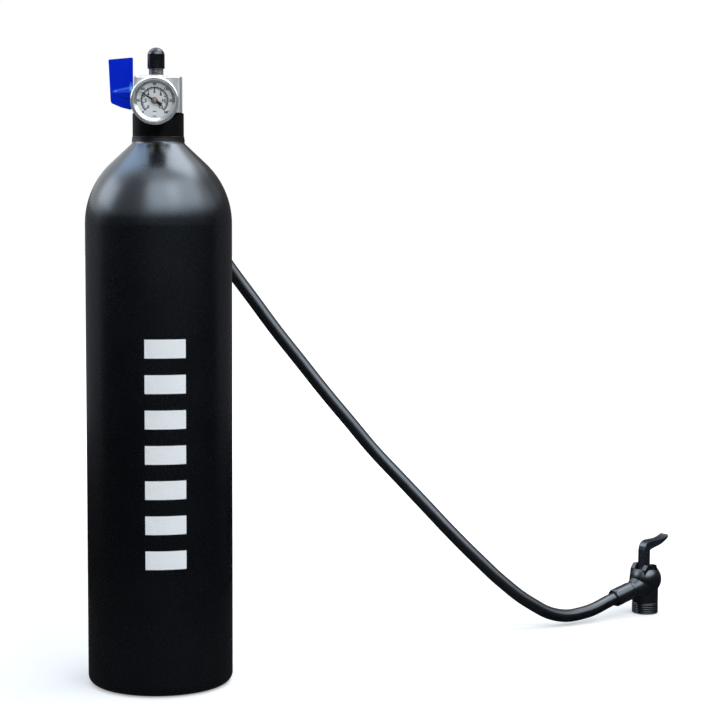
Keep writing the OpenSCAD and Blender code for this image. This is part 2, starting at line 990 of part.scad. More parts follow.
module plate_outline() {
    difference() {
        hull() {
            for (x = [-1.5, 1.5])
                translate([x, 1.2])
                    circle(0.7, $fn = 32);
            for (x = [-1.3, 1.3])
                translate([x, -pivot_drop - 0.9])
                    circle(0.6, $fn = 32);
        }
        circle(0.35);
        translate([0, -pivot_drop])
            circle(0.35);
    }
}

module movement_plates() {
    posts = [[-1.6, 1.3], [1.6, 1.3], [1.4, -pivot_drop - 1]];
    color(brass_c)
    at_gauge(rear_plate_y)
    union() {
        linear_extrude(plate_t)
            plate_outline();
        translate([0, 0, plate_t + gear_gap])
        linear_extrude(plate_t)
            plate_outline();
        for (p = posts)
            translate([p[0], p[1], plate_t - 0.1])
                cylinder(r = 0.35, h = gear_gap + 0.2, $fn = 24);
    }
}

// Point along a spiral of three turns that widens by 0.7 mm
function spiral_point(t, r0) = let (a = 360 * 3 * t, r = r0 + 0.7 * t) [r * cos(a), r * sin(a)];

module gauge_hairspring() {
    steps = 54;
    color(steel_c)
    at_gauge(gear_y - gear_t - 0.7)
    linear_extrude(0.3)
        polygon(concat(
            [for (i = [0:steps]) spiral_point(i / steps, 0.88)],
            [for (i = [steps:-1:0]) spiral_point(i / steps, 0.8)]
        ));
}

// Spur teeth, thinned a little at the pitch line for backlash
function tooth(m, n, i) = let (
    r0 = m * (n / 2 - 1.2), r1 = m * n / 2, r2 = m * (n / 2 + 0.9),
    w1 = 90 / n * 0.86, w2 = w1 * 0.45, w0 = min(w1 * 1.35, 90 / n), a = 360 * i / n
) [
    [r0 * cos(a - w0), r0 * sin(a - w0)],
    [r1 * cos(a - w1), r1 * sin(a - w1)],
    [r2 * cos(a - w2), r2 * sin(a - w2)],
    [r2 * cos(a + w2), r2 * sin(a + w2)],
    [r1 * cos(a + w1), r1 * sin(a + w1)],
    [r0 * cos(a + w0), r0 * sin(a + w0)]
];

module pointer_spindle() {
    color(steel_c)
    union() {
        at_gauge(rear_plate_y)
            cylinder(r = 0.3, h = rear_plate_y - pointer_y + 0.4);
        at_gauge(gear_y)
        linear_extrude(gear_t)
        rotate([0, 0, 90 + 180 / pinion_teeth])
            polygon([for (i = [0:pinion_teeth - 1]) each tooth(gear_m, pinion_teeth, i)]);
        at_gauge(gear_y - gear_t - 0.5)
            cylinder(r = 0.55, h = 0.6);
    }
}

// Sector on its pivot under the pinion, with the tail that the link pulls
module gauge_sector() {
    first = -ceil((sector_fwd + 5) * sector_teeth / 360);
    last = ceil((sector_back + 5) * sector_teeth / 360);
    root_r = gear_m * (sector_teeth / 2 - 1.2);
    color(brass_c)
    translate([gauge_x, 0, gauge_z - pivot_drop])
    union() {
        translate([0, gear_y, 0])
        rotate([90, 0, 0])
        linear_extrude(gear_t)
        union() {
            rotate([0, 0, 90])
            polygon(concat(
                [[0, 0]],
                [for (i = [first:last]) each tooth(gear_m, sector_teeth, i)]
            ));
            circle(0.9);
            rotate([0, 0, 180])
            translate([0, -0.45])
                square([tail_r, 0.9]);
            translate([-tail_r, 0])
                circle(0.55);
        }
        translate([0, rear_plate_y, 0])
        rotate([90, 0, 0])
            cylinder(r = 0.3, h = plate_t * 2 + gear_gap);
        translate([-tail_r, gear_y - gear_t + 0.1, 0])
        rotate([90, 0, 0])
            cylinder(r = 0.25, h = 0.7);
    }
}

// Link from the sector's tail to the tube's free end, with a slot at the far end
module gauge_link() {
    tip = [(tube_r - 1.2) * cos(tube_end - 3), (tube_r - 1.2) * sin(tube_end - 3)];
    tail = [-tail_r, -pivot_drop];
    span = norm(tip - tail);
    aim = atan2(tip[1] - tail[1], tip[0] - tail[0]);
    color(steel_c)
    at_gauge(gear_y - gear_t - 0.1)
    translate([tail[0], tail[1], 0])
    rotate([0, 0, aim])
    linear_extrude(0.4)
    difference() {
        union() {
            circle(0.75);
            translate([0, -0.45])
                square([span - 1.2, 0.9]);
            translate([span - 1.5, -1.7])
                square([3.4, 3.2]);
        }
        circle(0.28);
        translate([span - 0.9, -1.2])
            square([2.4, 2.2]);
    }
}

module gauge_dial() {
    color(white_c)
    at_gauge(dial_y)
    difference() {
        cylinder(r = dial_r, h = dial_t);
        translate([0, 0, -1])
            cylinder(r = 0.8, h = 3);
    }
}

module gauge_dial_ring() {
    top = lens_y + 0.02;
    h = dial_y - dial_t - top;
    color(chrome_c)
    at_gauge(dial_y - dial_t)
    rotate_extrude()
    polygon([
        [dial_r - 1.1, 0],
        [dial_r, 0],
        [dial_r, h],
        [dial_r - 0.3, h],
        [dial_r - 1.1, 0.3]
    ]);
}

module gauge_lens() {
    color([0.9, 0.95, 1, 0.35])
    at_gauge(lens_y)
        cylinder(r = cavity_r, h = lens_t);
}

module gauge_bezel() {
    h = 3.6;
    front = lens_y - lens_t;
    depth = h - 1;
    color(chrome_c)
    at_gauge(front + depth)
    rotate_extrude()
    difference() {
        union() {
            square([bezel_r, depth]);
            translate([0, depth])
                square([bezel_r - 1, 1]);
            translate([bezel_r - 1, depth])
                circle(1);
        }
        translate([-1, -1])
            square([case_r + 1, 1 + depth - (lens_t + 0.5 - 0.6)]);
        translate([-1, 0])
            square([cavity_r + 1, depth]);
        translate([-1, 0])
            square([cavity_r - bezel_lip + 1, h + 1]);
        polygon([
            [cavity_r - bezel_lip - 0.01, depth + 0.35],
            [cavity_r - 0.1, depth + 1.01],
            [cavity_r - bezel_lip - 0.01, depth + 1.01]
        ]);
    }
}

// Needle and tail, pointing along +X
module pointer_outline() {
    polygon([
        [-3, -0.75], [-3.4, -1], [-4.4, -0.7], [-4.4, 0.7], [-3.4, 1], [-3, 0.75], [0, 0.6],
        [pointer_len * 0.75, 0.28], [pointer_len, 0.08], [pointer_len, -0.08],
        [pointer_len * 0.75, -0.28], [0, -0.6]
    ]);
}

module gauge_pointer() {
    color(rubber_c)
    at_gauge(pointer_y)
    difference() {
        union() {
            rotate([0, 0, tip_angle])
            linear_extrude(pointer_t)
                pointer_outline();
            cylinder(r = 1.7, h = pointer_t);
        }
        translate([0, 0, -1])
            cylinder(r = 0.3, h = 3);
    }
}

// Pieces of the chuck are drawn around its own axis, with the side port along -X
module at_chuck() {
    translate([chuck_x, chuck_y, 0])
    rotate([0, 0, chuck_turn])
        children();
}

module at_port(t) {
    translate([0, 0, side_port_z])
    rotate([0, -90 - port_slope, 0])
    translate([0, 0, t])
        children();
}

// Round head with a flat top, neck with small steps at its ends, and shank
module chuck_profile() {
    neck_top_z = head_z - 5.5;
    union() {
        intersection() {
            translate([0, head_z])
                circle(head_r);
            translate([0, neck_top_z - 3])
                square([head_r + 1, head_top - neck_top_z + 3]);
        }
        translate([0, ring_h + 0.3])
            square([chuck_neck_r - 0.4, neck_top_z - ring_h]);
        translate([0, ring_h + 0.7])
            square([chuck_neck_r, neck_top_z - ring_h - 0.7]);
        translate([0, shank_z])
            square([shank_r, ring_h]);
    }
}

// One ear of the clevis, seen along the pin: chamfered in front, with a sloping back
module ear_outline() {
    polygon([
        [-7.8 - pin_out, -7.5],
        [-6.7 - pin_out, ear_rise - ear_chamfer],
        [-4.6 - pin_out, ear_rise],
        [1.1, ear_rise],
        [1.6, ear_rise - 0.4],
        [3.6, -2.3],
        [5, -7.5]
    ]);
}

module chuck_body() {
    color(plastic_c)
    at_chuck()
    difference() {
        union() {
            rotate_extrude()
                chuck_profile();
            for (y = [ear_out, -ear_in])
                translate([pin_out, y, lever_pin_z])
                rotate([90, 0, 0])
                linear_extrude(ear_out - ear_in)
                    ear_outline();
            at_port(0)
                cylinder(r = port_r, h = port_len);
            at_port(port_len - 0.01)
                cylinder(r1 = port_r, r2 = port_r - 0.4, h = 0.4);
            // Shoulder that blends the port into the head
            at_port(4)
                cylinder(r1 = port_r + 4, r2 = port_r, h = 7.5);
        }
        // Slot for the lever between the ears, closed by the head on the port's side
        translate([slot_back, -ear_in, slot_z])
            cube([2 * head_r, 2 * ear_in, 20]);
        // Chamber, rod bore and the port's air way
        translate([0, 0, shank_z - 1])
            cylinder(r = chamber_r, h = chamber_top - shank_z + 1);
        translate([0, 0, chamber_top - 1])
            cylinder(r = rod_r + run_fit, h = 20);
        at_port(0)
            cylinder(r = barb_bore_r, h = 30);
        at_port(port_len - 3)
            cylinder(r = 3.6, h = 10);
        // Pin hole through both ears
        translate([pin_out, -ear_out - 1, lever_pin_z])
        rotate([-90, 0, 0])
            cylinder(r = lever_pin_r, h = 2 * ear_out + 2);
    }
}

module lever_pin() {
    color(steel_c)
    at_chuck()
    translate([pin_out, -ear_out, lever_pin_z])
    rotate([-90, 0, 0])
        cylinder(r = lever_pin_r, h = 2 * ear_out);
}

module chuck_barb() {
    color(brass_c)
    at_chuck()
    difference() {
        union() {
            at_port(port_len - 3)
                cylinder(r = 3.6, h = sleeve_in + 1 - port_len + 3);
            at_port(sleeve_in + 1)
                barb_shape(chuck_barb_len);
        }
        at_port(0)
            cylinder(r = barb_bore_r, h = 60);
    }
}

module chuck_sleeve() {
    color(plastic_c)
    at_chuck()
    at_port(sleeve_in + 1)
    rotate_extrude()
    polygon([
        [hose_r, 0],
        [sleeve_r - 0.4, 0],
        [sleeve_r - 0.1, 0.4],
        [sleeve_r, sleeve_len - 1],
        [sleeve_r - 0.5, sleeve_len],
        [hose_r, sleeve_len]
    ]);
}

module chuck_gland() {
    color(rubber_c)
    at_chuck()
    translate([0, 0, gland_z])
    difference() {
        cylinder(r = chamber_r, h = chuck_gland_h);
        translate([0, 0, -1])
            cylinder(r = valve_hole_r, h = chuck_gland_h + 2);
        translate([0, 0, -0.01])
            cylinder(r1 = ring_hole_r - 0.2, r2 = valve_hole_r, h = 1.4);
    }
}

module chuck_plunger() {
    color(white_c)
    at_chuck()
    rotate_extrude()
    difference() {
        union() {
            translate([0, plunger_z])
                square([chamber_r - run_fit, 3.6]);
            translate([0, plunger_z])
                square([rod_r, rod_top - plunger_z]);
        }
        translate([-1, plunger_z - 1])
            square([1.6 + 1, 8]);
        translate([rod_r - 0.8, rod_oring_z - 0.5])
            square([1, 1]);
    }
}

module plunger_oring() {
    color(rubber_c)
    at_chuck()
    translate([0, 0, rod_oring_z])
    rotate_extrude()
    translate([rod_r - 0.4, 0])
        circle(0.4, $fn = 32);
}

module chuck_ring() {
    pitch = (ring_h - 1) / ring_ribs;
    groove_d = 0.7;
    color(plastic_c)
    at_chuck()
    rotate_extrude()
    difference() {
        polygon([
            [0, 0], [ring_r - 0.5, 0], [ring_r, 0.5],
            [ring_r, ring_h - 0.3], [ring_r - 0.3, ring_h], [0, ring_h]
        ]);
        for (k = [1:ring_ribs])
            translate([ring_r + 0.1, k * pitch + 0.1])
                circle(groove_d / 2 + 0.1, $fn = 32);
        translate([-1, -1])
            square([ring_hole_r + 1, ring_h + 2]);
        translate([-1, ring_floor_t])
            square([shank_r + run_fit + 1, ring_h]);
    }
}

// Curve through which the thumb paddle is drawn
function s_curve(p0, p1, p2, p3, n) = [for (i = [0:n]) let (t = i / n, u = 1 - t)
    u * u * u * p0 + 3 * u * u * t * p1 + 3 * u * t * t * p2 + t * t * t * p3];

// Lever seen along the pin: straight arm, knee and rising thumb paddle
module lever_outline() {
    knee = [-arm_front + 2.2, arm_len + 4.4];
    tip = [paddle_len, arm_len + 8.4];
    root = [-arm_back + 0.2, arm_len + 0.3];
    upper = s_curve(knee, knee + [5.8, 2.6], tip - [7, 4.6], tip, 14);
    lower = s_curve(tip - [-0.2, 0.9], tip - [5.5, 6.6], root + [4.4, 1.8], root, 14);
    polygon(concat(
        [
            [-arm_front + 1.4, -1.5],
            [-arm_front, -0.3],
            [-arm_front, arm_len - 0.2],
            [-arm_front + 0.4, arm_len],
            [-arm_front + 0.2, arm_len + 0.4],
            [-arm_front + 0.6, arm_len + 2.2],
            [-arm_front + 1.3, arm_len + 3.6]
        ],
        upper,
        lower,
        [[-arm_back, arm_len - 0.8], [-arm_back, 2], [0.5, 1]]
    ));
}

// Lever seen from its top: the paddle is a little wider than the arm and ends square
module lever_plan() {
    a = lever_w / 2;
    p = paddle_w / 2;
    polygon([
        [-arm_front - 1, -a], [-arm_front + 2, -a], [-arm_front + 5.5, -p],
        [paddle_len - 0.6, -p], [paddle_len + 0.3, -p + 0.9],
        [paddle_len + 0.3, p - 0.9], [paddle_len - 0.6, p],
        [-arm_front + 5.5, p], [-arm_front + 2, a], [-arm_front - 1, a]
    ]);
}

module chuck_lever() {
    color(plastic_c)
    at_chuck()
    translate([pin_out, 0, lever_pin_z])
    difference() {
        union() {
            intersection() {
                translate([0, paddle_w, 0])
                rotate([90, 0, 0])
                linear_extrude(2 * paddle_w)
                    lever_outline();
                union() {
                    translate([-10, -lever_w / 2, -10])
                        cube([20, lever_w, arm_len + 10.3]);
                    translate([0, 0, arm_len])
                    linear_extrude(20)
                        lever_plan();
                }
            }
            translate([-cam_e * sin(45), -lever_w / 2, -cam_e * sin(45)])
            rotate([-90, 0, 0])
                cylinder(r = cam_r, h = lever_w);
        }
        translate([0, -10, 0])
        rotate([-90, 0, 0])
            cylinder(r = lever_pin_r + run_fit, h = 20);
    }
}

tank_shell();
neck_collar();
neck_oring();
valve_block();
ball_seat_front();
ball_seat_rear();
stem_packing();
gland_nut();
outlet_fitting();
outlet_washer();
hose_ferrule();
hose();
fill_valve_stem();
fill_core_body();
fill_core_spring();
fill_core_pin();
fill_core_seal();
valve_cap();
cap_gasket();
valve_ball();
valve_stem();
valve_handle();
handle_grub_screw();
gauge_washer();
gauge_socket();
gauge_case();
bourdon_tube();
movement_plates();
gauge_hairspring();
gauge_dial();
gauge_dial_ring();
gauge_lens();
gauge_bezel();
gauge_pointer();
pointer_spindle();
gauge_sector();
gauge_link();
chuck_sleeve();
chuck_barb();
chuck_body();
chuck_gland();
chuck_plunger();
plunger_oring();
chuck_ring();
chuck_lever();
lever_pin();
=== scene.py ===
from math import cos, pi, radians, sin

import bpy
from mathutils import Matrix, Vector


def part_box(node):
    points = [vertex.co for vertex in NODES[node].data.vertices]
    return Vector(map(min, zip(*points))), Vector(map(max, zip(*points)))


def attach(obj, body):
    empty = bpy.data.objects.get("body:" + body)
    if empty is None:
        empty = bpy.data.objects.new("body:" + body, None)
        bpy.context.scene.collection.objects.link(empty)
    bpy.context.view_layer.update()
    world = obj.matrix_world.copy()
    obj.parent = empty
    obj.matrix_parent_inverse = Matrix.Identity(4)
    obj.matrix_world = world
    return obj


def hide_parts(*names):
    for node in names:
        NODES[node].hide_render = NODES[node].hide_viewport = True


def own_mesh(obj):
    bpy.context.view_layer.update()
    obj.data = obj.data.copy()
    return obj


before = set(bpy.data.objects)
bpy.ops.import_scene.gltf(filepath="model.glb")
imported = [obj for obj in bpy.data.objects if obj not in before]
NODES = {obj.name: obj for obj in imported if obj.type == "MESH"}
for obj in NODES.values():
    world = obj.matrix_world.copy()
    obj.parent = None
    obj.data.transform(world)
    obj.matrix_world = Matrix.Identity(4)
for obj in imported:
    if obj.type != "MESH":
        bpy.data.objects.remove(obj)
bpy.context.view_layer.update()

MM = 0.001


def low(node, axis):
    """Lowest coordinate of a CAD node along an axis, in metres."""
    return float(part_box(node)[0][axis])


def high(node, axis):
    """Highest coordinate of a CAD node along an axis, in metres."""
    return float(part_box(node)[1][axis])


def middle(node, axis):
    """Coordinate of a CAD node's middle along an axis, in metres."""
    return (low(node, axis) + high(node, axis)) / 2


# Places taken from the frame
NECK_TOP = high("tank_shell", 2)
VALVE_Z = middle("hose_ferrule", 2)
GAUGE_X = middle("gauge_bezel", 0)
GAUGE_Z = middle("gauge_bezel", 2)
DIAL_FACE = low("gauge_dial", 1)


# Camera, at the photograph's viewing angle
CAM_DISTANCE = 1100 * MM
CAM_HEIGHT = 279.97 * MM
CAM_PITCH = 0.0914
CAM_YAW = 0.1004
CAM_ROLL = 0.0042
CAM_LENS = 99.98
CAM_SENSOR = 36
CAM_NEAREST = 0.01


def add_camera():
    """The camera in front of the tank, turned by its yaw, pitch and roll."""
    level = cos(CAM_PITCH)
    forward = Vector((sin(CAM_YAW) * level, cos(CAM_YAW) * level, -sin(CAM_PITCH)))
    right = forward.cross(Vector((0, 0, 1))).normalized()
    up = right.cross(forward)
    c, s = cos(CAM_ROLL), sin(CAM_ROLL)
    right, up = c * right + s * up, c * up - s * right
    data = bpy.data.cameras.new("camera")
    data.lens = CAM_LENS
    data.sensor_width = CAM_SENSOR
    data.clip_start = CAM_NEAREST
    camera = bpy.data.objects.new("camera", data)
    turn = Matrix((right, up, -forward)).transposed()
    camera.matrix_world = Matrix.Translation((0, -CAM_DISTANCE, CAM_HEIGHT)) @ turn.to_4x4()
    bpy.context.collection.objects.link(camera)
    bpy.context.scene.camera = camera


add_camera()


# Node materials
class Nodes:
    """A small helper that adds shader nodes and joins them by name."""

    MIX_COLOURS = (6, 7)
    MIX_RESULT = 2

    def __init__(self, tree):
        self.tree = tree
        self.tree.nodes.clear()

    def add(self, kind, inputs=None, **settings):
        """A new node: inputs are sockets to join or values to set, settings are the node's own."""
        node = self.tree.nodes.new(kind)
        for name, value in settings.items():
            setattr(node, name, value)
        for name, value in (inputs or {}).items():
            if isinstance(value, bpy.types.NodeSocket):
                self.tree.links.new(value, node.inputs[name])
            else:
                node.inputs[name].default_value = value
        return node

    def math(self, operation, a, b=0.0):
        return self.add("ShaderNodeMath", {0: a, 1: b}, operation=operation).outputs[0]

    def ramp(self, value, low_in, high_in, low_out, high_out):
        """The value taken from one range to another, and held at its ends."""
        return self.add("ShaderNodeMapRange", {
            "Value": value, "From Min": low_in, "From Max": high_in,
            "To Min": low_out, "To Max": high_out,
        }).outputs["Result"]

    def noise(self, point, scale, detail):
        return self.add("ShaderNodeTexNoise", {
            "Vector": point, "Scale": scale, "Detail": detail,
        }).outputs["Fac"]

    def stretch(self, point, scale):
        return self.add("ShaderNodeMapping", {"Vector": point, "Scale": scale}).outputs["Vector"]

    def mix(self, factor, a, b):
        """A blend of two colours, through the Mix node's coloured sockets."""
        sockets = {0: factor}
        for index, value in zip(self.MIX_COLOURS, (a, b)):
            sockets[index] = value if isinstance(value, bpy.types.NodeSocket) else (*value[:3], 1)
        return self.add("ShaderNodeMix", sockets, data_type="RGBA").outputs[self.MIX_RESULT]

    def surface(self, shader, kind="ShaderNodeOutputMaterial"):
        """Joins a shader to the tree's output."""
        out = self.add(kind)
        self.tree.links.new(shader.outputs[0], out.inputs["Surface"])


def shaded(colour, factor):
    """The colour made darker or lighter, and never above full."""
    return tuple(min(c * factor, 1.0) for c in colour)


# Roughness follows the soft patches more than the grain. Their sum mostly stays within the span, which
# covers the whole change of roughness.
GLOSS_FROM_PATCHES = 0.6
GLOSS_FROM_GRAIN = 0.4
GLOSS_SPAN = (0.3, 0.7)
SMOOTHEST = 0.01


def finish(name, colour, rough, vary=0.15, patch_mm=18, rough_vary=0.06, grain_mm=0.35,
           grain=0.04, streak=(1, 1, 1), paint=None, **sockets):
    """A surface with soft patches of tone, uneven gloss and a fine grain in its bump."""
    material = bpy.data.materials.new(name)
    material.use_nodes = True
    n = Nodes(material.node_tree)
    point = n.add("ShaderNodeTexCoord").outputs["Object"]
    along = n.stretch(point, streak)
    patches = n.noise(point, 1 / (patch_mm * MM), detail=3)
    fine = n.noise(along, 1 / (grain_mm * MM), detail=2)
    tone = n.mix(patches, shaded(colour, 1 - vary), shaded(colour, 1 + vary))
    uneven = n.math("ADD", n.math("MULTIPLY", patches, GLOSS_FROM_PATCHES),
                    n.math("MULTIPLY", fine, GLOSS_FROM_GRAIN))
    gloss = n.ramp(uneven, *GLOSS_SPAN, max(rough - rough_vary, SMOOTHEST), rough + rough_vary)
    if paint:
        tone, gloss = paint(n, point, tone, gloss)
    bump = n.add("ShaderNodeBump", {"Strength": grain, "Distance": grain_mm * MM, "Height": fine})
    inputs = {"Base Color": tone, "Roughness": gloss, "Normal": bump.outputs["Normal"]}
    shader = n.add("ShaderNodeBsdfPrincipled", inputs)
    for socket, value in sockets.items():
        shader.inputs[socket.replace("_", " ")].default_value = value
    n.surface(shader)
    return material


# The generic mark on the tank's front: plain bars in a column
MARK_X = 3 * MM
MARK_HALF_W = 11 * MM
MARK_LOW = 65.6 * MM
MARK_HIGH = 198.1 * MM
MARK_BARS = 7
MARK_FILL = 0.54
MARK_SOFT_X = 0.1 * MM
MARK_SOFT_Z = 0.01
MARK_WHITE = (0.86, 0.87, 0.88)


def tank_marks(n, point, tone, gloss):
    """White bars printed on the front of the tank."""
    x, y, z = n.add("ShaderNodeSeparateXYZ", {"Vector": point}).outputs
    across = n.math("ABSOLUTE", n.math("SUBTRACT", x, MARK_X))
    inside = n.ramp(across, MARK_HALF_W, MARK_HALF_W - MARK_SOFT_X, 0, 1)
    front = n.math("LESS_THAN", y, 0.0)
    share = n.ramp(z, MARK_LOW, MARK_HIGH, 0, MARK_BARS)
    from_middle = n.math("ABSOLUTE", n.math("SUBTRACT", n.math("FRACT", share), 0.5))
    bar = n.ramp(from_middle, MARK_FILL / 2, MARK_FILL / 2 - MARK_SOFT_Z, 0, 1)
    span = n.math("MULTIPLY", n.math("GREATER_THAN", z, MARK_LOW), n.math("LESS_THAN", z, MARK_HIGH))
    mask = n.math("MULTIPLY", n.math("MULTIPLY", inside, front), n.math("MULTIPLY", bar, span))
    return n.mix(mask, tone, MARK_WHITE), gloss


# Upright streaks on the bare alloy: partly brush marks, partly painted reflection, the light and dark
# bands that a metal face mirrors
STREAK_W = 1.6 * MM
STREAK_STRETCH = (1, 1, 0.02)
STREAK_SPAN = (0.35, 0.6)
STREAK_AND_BAND_DARK = (0.56, 0.57, 0.58)


def brush_streaks_and_painted_bands(n, point, tone, gloss):
    """Upright streaks that darken the metal here and there: brush marks, and painted reflection of light
    and dark bands.
    """
    marks = n.noise(n.stretch(point, STREAK_STRETCH), 1 / STREAK_W, detail=1)
    shade = n.ramp(marks, *STREAK_SPAN, 0.0, 1.0)
    return n.mix(shade, STREAK_AND_BAND_DARK, tone), gloss


# Tints of the gloss: a cool sheen on what is black, and a light blue one on the handle
COOL = (0.8, 0.89, 1.0, 1.0)
COLD = (0.76, 0.87, 1.0, 1.0)
LIGHT_BLUE = (0.25, 0.75, 1.0, 1.0)

MATERIALS = {
    "tank_paint": finish(
        "tank_paint", (0.0014, 0.0017, 0.0028), 0.27, patch_mm=30, grain_mm=0.5, rough_vary=0.03,
        paint=tank_marks, IOR=1.6, Specular_IOR_Level=0.94, Specular_Tint=COLD),
    "black_anodised": finish(
        "black_anodised", (0.002, 0.0021, 0.003), 0.3, grain_mm=0.25, grain=0.03,
        streak=(0.1, 0.1, 1), Specular_IOR_Level=0.25),
    "seal_rubber": finish("seal_rubber", (0.010, 0.010, 0.011), 0.6, grain=0.1, Specular_IOR_Level=0.3),
    "bare_alloy": finish(
        "bare_alloy", (0.78, 0.79, 0.8), 0.34, vary=0.05, grain_mm=0.12, grain=0.06,
        streak=(1, 1, 0.05), paint=brush_streaks_and_painted_bands, Metallic=0.75),
    "white_plastic": finish("white_plastic", (0.78, 0.77, 0.73), 0.4, vary=0.04),
    "steel": finish("steel", (0.6, 0.6, 0.61), 0.22, vary=0.08, grain_mm=0.15, Metallic=1.0),
    "black_steel": finish(
        "black_steel", (0.01, 0.014, 0.05), 0.35, grain_mm=0.15, Specular_IOR_Level=0.3),
    "brass": finish("brass", (0.72, 0.52, 0.22), 0.26, vary=0.1, grain_mm=0.2, Metallic=1.0),
    "black_plastic": finish(
        "black_plastic", (0.006, 0.0068, 0.009), 0.28, grain_mm=0.3, grain=0.08, rough_vary=0.04,
        IOR=1.58, Specular_IOR_Level=1.0, Specular_Tint=COOL),
    # The lever's plastic: a lighter copy of the chuck's black plastic, painted light that makes the arm's
    # front and the paddle's top show lighter
    "lever_plastic_painted_lighter": finish(
        "lever_plastic_painted_lighter", (0.011, 0.0135, 0.02), 0.28, grain_mm=0.3, grain=0.08, rough_vary=0.04,
        IOR=1.7, Specular_IOR_Level=1.0, Specular_Tint=COOL),
    "cap_rubber": finish(
        "cap_rubber", (0.002, 0.002, 0.003), 0.2, grain_mm=0.3, grain=0.05, rough_vary=0.04,
        IOR=1.6, Specular_IOR_Level=0.7, Specular_Tint=COOL),
    "hose_rubber": finish(
        "hose_rubber", (0.004, 0.0044, 0.006), 0.3, grain_mm=0.4, grain=0.05, rough_vary=0.04,
        IOR=1.6, Specular_IOR_Level=1.0, Specular_Tint=COOL),
    "chrome": finish(
        "chrome", (0.86, 0.87, 0.88), 0.1, vary=0.03, rough_vary=0.03, grain=0.01, Metallic=0.75),
    "stem_steel": finish("stem_steel", (0.16, 0.16, 0.17), 0.3, vary=0.1, grain_mm=0.15, Metallic=1.0),
    "blue_plastic": finish(
        "blue_plastic", (0.0002, 0.016, 0.68), 0.17, vary=0.06, grain_mm=0.5, rough_vary=0.03,
        IOR=1.8, Specular_IOR_Level=0.9, Specular_Tint=LIGHT_BLUE),
    "white_paint": finish("white_paint", (0.74, 0.76, 0.77), 0.5, vary=0.03, patch_mm=3, grain=0.03),
    "black_paint": finish("black_paint", (0.006, 0.006, 0.007), 0.4, grain=0.03),
    "glass": finish(
        "glass", (0.98, 0.99, 1.0), 0.02, vary=0.005, rough_vary=0.01, grain=0.0,
        Transmission_Weight=1.0, IOR=1.3),
    "print_black": finish("print_black", (0.012, 0.012, 0.014), 0.5),
    "print_red": finish("print_red", (0.1, 0.003, 0.014), 0.5),
    "boss_bronze": finish(
        "boss_bronze", (0.30, 0.22, 0.2), 0.4, vary=0.1, patch_mm=1, grain_mm=0.1, Metallic=0.5),
}

# The CAD nodes that each material finishes
LOOK = {
    "tank_paint": ["tank_shell"],
    "black_anodised": ["neck_collar"],
    "seal_rubber": ["neck_oring", "fill_core_seal", "cap_gasket", "plunger_oring", "chuck_gland",
                    "hose_ferrule"],
    "bare_alloy": ["valve_block"],
    "white_plastic": ["ball_seat_front", "ball_seat_rear", "stem_packing", "outlet_washer",
                      "gauge_washer", "chuck_plunger"],
    "black_steel": ["handle_grub_screw", "valve_stem"],
    "steel": ["gland_nut", "lever_pin", "pointer_spindle", "gauge_link",
              "gauge_hairspring", "fill_core_spring"],
    "brass": ["outlet_fitting", "fill_core_body", "fill_core_pin", "gauge_socket", "bourdon_tube",
              "movement_plates", "gauge_sector", "chuck_barb"],
    "black_plastic": ["chuck_body", "chuck_ring", "chuck_sleeve"],
    "lever_plastic_painted_lighter": ["chuck_lever"],
    "cap_rubber": ["valve_cap"],
    "hose_rubber": ["hose"],
    "chrome": ["fill_valve_stem", "valve_ball", "gauge_case", "gauge_bezel", "gauge_dial_ring"],
    "blue_plastic": ["valve_handle"],
    "white_paint": ["gauge_dial"],
    "black_paint": ["gauge_pointer"],
    "glass": ["gauge_lens"],
}
for look, names in LOOK.items():
    for name in names:
        NODES[name].data.materials.clear()
        NODES[name].data.materials.append(MATERIALS[look])

# Lamp light falls on the dial straight through its clear window
NODES["gauge_lens"].visible_shadow = False
NODES["gauge_lens"].visible_diffuse = False


# The hose: the route of the CAD, in millimetres, as one smooth curve
HOSE_D = 8
HOSE_START = 17.8
PORT = (312, 150, 19)
PORT_SLOPE = radians(14)
PORT_TURN = radians(30)
SLEEVE_AT = 14
SLEEVE_LEN = 14


def along_port(distance):
    """A point on the axis of the chuck's side port, in millimetres."""
    level = distance * cos(PORT_SLOPE)
    drop = distance * sin(PORT_SLOPE)
    return (PORT[0] - level * cos(PORT_TURN), PORT[1] - level * sin(PORT_TURN), PORT[2] - drop)


HOSE_ROUTE = [
    (0, HOSE_START, VALVE_Z / MM),
    (0, 44, VALVE_Z / MM),
    (1, 66, 322),
    (3, 86, 313),
    (7, 103, 298),
    (12, 115, 280),
    (20, 123, 261),
    (31, 128, 242),
    (44, 130, 223),
    (58, 130, 204),
    (72, 129, 185),
    (87, 128, 166),
    (102, 126, 147),
    (117, 124, 129),
    (132, 122, 111),
    (148, 119, 94),
    (164, 116, 77),
    (180, 113, 60),
    (196, 111, 44),
    (212, 110, 29),
    (229, 111, 16),
    (247, 115, 7),
    (266, 123, 6.4),
    along_port(SLEEVE_AT + SLEEVE_LEN + 2),
    along_port(SLEEVE_AT),
]


def add_hose():
    """The hose as a round curve that rides on the tank, in place of the CAD hose."""
    data = bpy.data.curves.new("hose_tube", "CURVE")
    data.dimensions = "3D"
    data.bevel_depth = HOSE_D / 2 * MM
    data.bevel_resolution = 8
    data.resolution_u = 8
    spline = data.splines.new("BEZIER")
    spline.bezier_points.add(len(HOSE_ROUTE) - 1)
    for point, place in zip(spline.bezier_points, HOSE_ROUTE):
        point.co = Vector(place) * MM
        point.handle_left_type = "AUTO"
        point.handle_right_type = "AUTO"
    hose = bpy.data.objects.new("hose_tube", data)
    bpy.context.collection.objects.link(hose)
    data.materials.append(MATERIALS["hose_rubber"])
    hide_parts("hose")
    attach(hose, "tank")


add_hose()


# Pieces that the solids leave plain
SHARP_FROM = radians(35)


